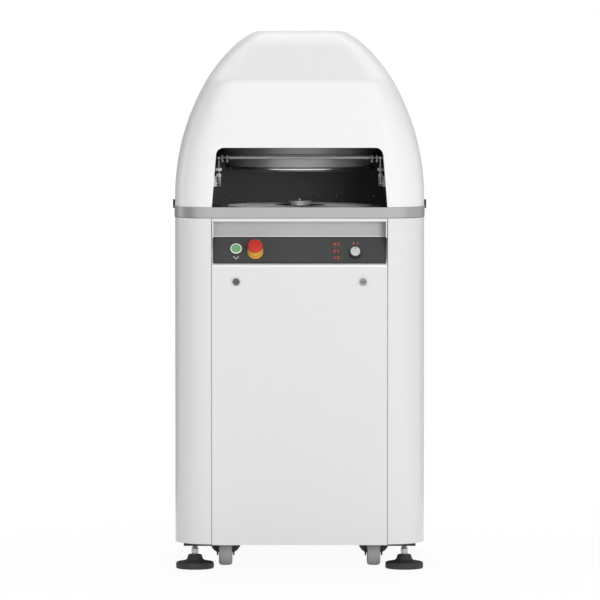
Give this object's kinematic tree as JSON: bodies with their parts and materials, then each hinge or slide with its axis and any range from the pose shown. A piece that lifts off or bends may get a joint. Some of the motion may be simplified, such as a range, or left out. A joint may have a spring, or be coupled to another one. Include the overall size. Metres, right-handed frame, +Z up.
{
  "type": "dough divider rounder",
  "caption": "Free-standing dough divider rounder: white cabinet on castors, press head with knives and pads over an orbiting table, tilting hood, sloping control strip.",
  "frame": {"origin": "on the floor, under the middle of the cabinet's plan", "axes": "+Z up, -Y towards the operator at the mouth and the control strip, +X to the operator's right"},
  "size_m": [0.687, 0.7237, 1.4453],
  "materials": {
    "white_enamel": "gloss",
    "white_moulding": "gloss",
    "frame_paint": "satin",
    "black_plastic": "satin",
    "panel_plastic": "satin",
    "display_red": "gloss",
    "bezel_plastic": "gloss",
    "start_green": "gloss",
    "collar_yellow": "gloss",
    "stop_red": "gloss",
    "knob_silver": "satin",
    "lock_chrome": "polished",
    "stainless": "brushed",
    "liner_plastic": "matte",
    "pad_plastic": "satin",
    "machine_iron": "matte",
    "ground_steel": "polished",
    "bush_bronze": "satin",
    "belt_rubber": "matte",
    "pack_paint": "satin",
    "wheel_rubber": "matte"
  },
  "bodies": {
    "cabinet": {"base_plate": "frame_paint", "base_rails": "frame_paint", "frame_posts": "frame_paint", "deck_plate": "frame_paint", "motor_shelf": "frame_paint", "left_casing": "white_enamel", "right_casing": "white_enamel", "rear_panel": "white_enamel", "cable_gland": "black_plastic", "console_housing": "white_enamel", "control_panel": "panel_plastic", "led_displays": "display_red", "start_bezel": "bezel_plastic", "stop_collar": "collar_yellow", "timer_skirt": "black_plastic", "table_band": "stainless", "chamber_liner": "liner_plastic", "trip_brackets": "stainless", "bearing_housing": "machine_iron", "motor": "machine_iron", "drive_belt": "belt_rubber", "press_cylinder": "ground_steel", "power_pack": "pack_paint", "electric_box": "pack_paint", "column_bushes": "bush_bronze", "hinge_brackets": "frame_paint", "rear_castor_forks": "frame_paint"},
    "press_head": {"guide_columns": "ground_steel", "head_beam": "machine_iron", "crosshead": "machine_iron", "piston_rod": "ground_steel", "press_ring": "stainless", "press_pads": "pad_plastic", "knife_cylinder": "ground_steel"},
    "knives": {"knife_grid": "stainless", "knife_yoke": "stainless"},
    "crank": {"crank_shaft": "ground_steel", "crank_pulley": "machine_iron"},
    "rounding_table": {"orbit_table": "stainless"},
    "left_idle_crank": {"idle_crank_left": "ground_steel"},
    "right_idle_crank": {"idle_crank_right": "ground_steel"},
    "motor_rotor": {"motor_pulley": "machine_iron"},
    "hood": {"hood_shell": "white_moulding", "hood_catches": "black_plastic", "hood_hinges": "frame_paint"},
    "trip": {"trip_bar": "stainless"},
    "front_door": {"front_panel": "white_enamel"},
    "door_lock_left": {"left_lock": "lock_chrome"},
    "door_lock_right": {"right_lock": "lock_chrome"},
    "start": {"start_button": "start_green"},
    "stop": {"stop_button": "stop_red"},
    "timer": {"timer_knob": "knob_silver"},
    "left_castor": {"castor_fork_left": "frame_paint"},
    "right_castor": {"castor_fork_right": "frame_paint"},
    "left_front_wheel": {"front_wheel_left": "wheel_rubber"},
    "right_front_wheel": {"front_wheel_right": "wheel_rubber"},
    "left_rear_wheel": {"rear_wheel_left": "wheel_rubber"},
    "right_rear_wheel": {"rear_wheel_right": "wheel_rubber"},
    "left_foot": {"foot_left": "black_plastic"},
    "right_foot": {"foot_right": "black_plastic"}
  },
  "joints": [
    {"name": "press_head_slide", "type": "slide", "parent": "cabinet", "child": "press_head", "axis": [0, 0, -1], "range_m": [0, 0.075]},
    {"name": "knife_slide", "type": "slide", "parent": "press_head", "child": "knives", "axis": [0, 0, -1], "range_m": [0, 0.028]},
    {"name": "crank_spin", "type": "hinge", "parent": "cabinet", "child": "crank", "pos_m": [0, -0.018, 0.9], "axis": [0, 0, 1], "continuous": true},
    {"name": "table_orbit", "type": "hinge", "parent": "crank", "child": "rounding_table", "pos_m": [0, 0, 0.96], "axis": [0, 0, 1], "continuous": true},
    {"name": "left_idle_spin", "type": "hinge", "parent": "cabinet", "child": "left_idle_crank", "pos_m": [-0.14, 0.042, 0.95], "axis": [0, 0, 1], "continuous": true},
    {"name": "right_idle_spin", "type": "hinge", "parent": "cabinet", "child": "right_idle_crank", "pos_m": [0.14, 0.042, 0.95], "axis": [0, 0, 1], "continuous": true},
    {"name": "motor_spin", "type": "hinge", "parent": "cabinet", "child": "motor_rotor", "pos_m": [0, 0.225, 0.82], "axis": [0, 0, 1], "continuous": true},
    {"name": "hood_hinge", "type": "hinge", "parent": "cabinet", "child": "hood", "pos_m": [0, 0.35, 0.984], "axis": [-1, 0, 0], "range_deg": [0, 70]},
    {"name": "trip_pivot", "type": "hinge", "parent": "cabinet", "child": "trip", "pos_m": [0, -0.216, 1.036], "axis": [1, 0, 0], "range_deg": [0, 35], "stiffness_Nm_per_rad": 0.5, "springref_deg": -11.46},
    {"name": "front_panel_pull", "type": "slide", "parent": "cabinet", "child": "front_door", "axis": [0, -1, 0], "range_m": [0, 0.25]},
    {"name": "left_lock_turn", "type": "hinge", "parent": "front_door", "child": "door_lock_left", "pos_m": [-0.17, -0.34, 0.7765], "axis": [0, -1, 0], "range_deg": [0, 90]},
    {"name": "right_lock_turn", "type": "hinge", "parent": "front_door", "child": "door_lock_right", "pos_m": [0.17, -0.34, 0.7765], "axis": [0, 1, 0], "range_deg": [0, 90]},
    {"name": "start_press", "type": "slide", "parent": "cabinet", "child": "start", "axis": [0, 0.8376, -0.5463], "range_m": [0, 0.0035], "stiffness_N_per_m": 800, "springref_m": -0.001},
    {"name": "stop_press", "type": "slide", "parent": "cabinet", "child": "stop", "axis": [0, 0.8376, -0.5463], "range_m": [0, 0.004], "stiffness_N_per_m": 1500, "springref_m": -0.001},
    {"name": "timer_turn", "type": "hinge", "parent": "cabinet", "child": "timer", "pos_m": [0.149, -0.32515, 0.84777], "axis": [0, -0.8376, 0.5463], "range_deg": [-135, 135]},
    {"name": "left_castor_swivel", "type": "hinge", "parent": "cabinet", "child": "left_castor", "pos_m": [-0.2, -0.19, 0.1], "axis": [0, 0, 1], "continuous": true},
    {"name": "right_castor_swivel", "type": "hinge", "parent": "cabinet", "child": "right_castor", "pos_m": [0.2, -0.19, 0.1], "axis": [0, 0, 1], "continuous": true},
    {"name": "left_front_wheel_spin", "type": "hinge", "parent": "left_castor", "child": "left_front_wheel", "pos_m": [-0.2, -0.21, 0.042], "axis": [1, 0, 0], "continuous": true},
    {"name": "right_front_wheel_spin", "type": "hinge", "parent": "right_castor", "child": "right_front_wheel", "pos_m": [0.2, -0.21, 0.042], "axis": [1, 0, 0], "continuous": true},
    {"name": "left_rear_wheel_spin", "type": "hinge", "parent": "cabinet", "child": "left_rear_wheel", "pos_m": [-0.2, 0.235, 0.04], "axis": [1, 0, 0], "continuous": true},
    {"name": "right_rear_wheel_spin", "type": "hinge", "parent": "cabinet", "child": "right_rear_wheel", "pos_m": [0.2, 0.235, 0.04], "axis": [1, 0, 0], "continuous": true},
    {"name": "left_foot_turn", "type": "hinge", "parent": "cabinet", "child": "left_foot", "pos_m": [-0.282, -0.268, 0.05], "axis": [0, 0, 1], "continuous": true},
    {"name": "right_foot_turn", "type": "hinge", "parent": "cabinet", "child": "right_foot", "pos_m": [0.282, -0.268, 0.05], "axis": [0, 0, 1], "continuous": true}
  ],
  "couplings": [
    {"joint": "table_orbit", "follows": "crank_spin", "ratio": -1},
    {"joint": "left_idle_spin", "follows": "crank_spin", "ratio": 1},
    {"joint": "right_idle_spin", "follows": "crank_spin", "ratio": 1},
    {"joint": "motor_spin", "follows": "crank_spin", "ratio": 3.1053}
  ]
}
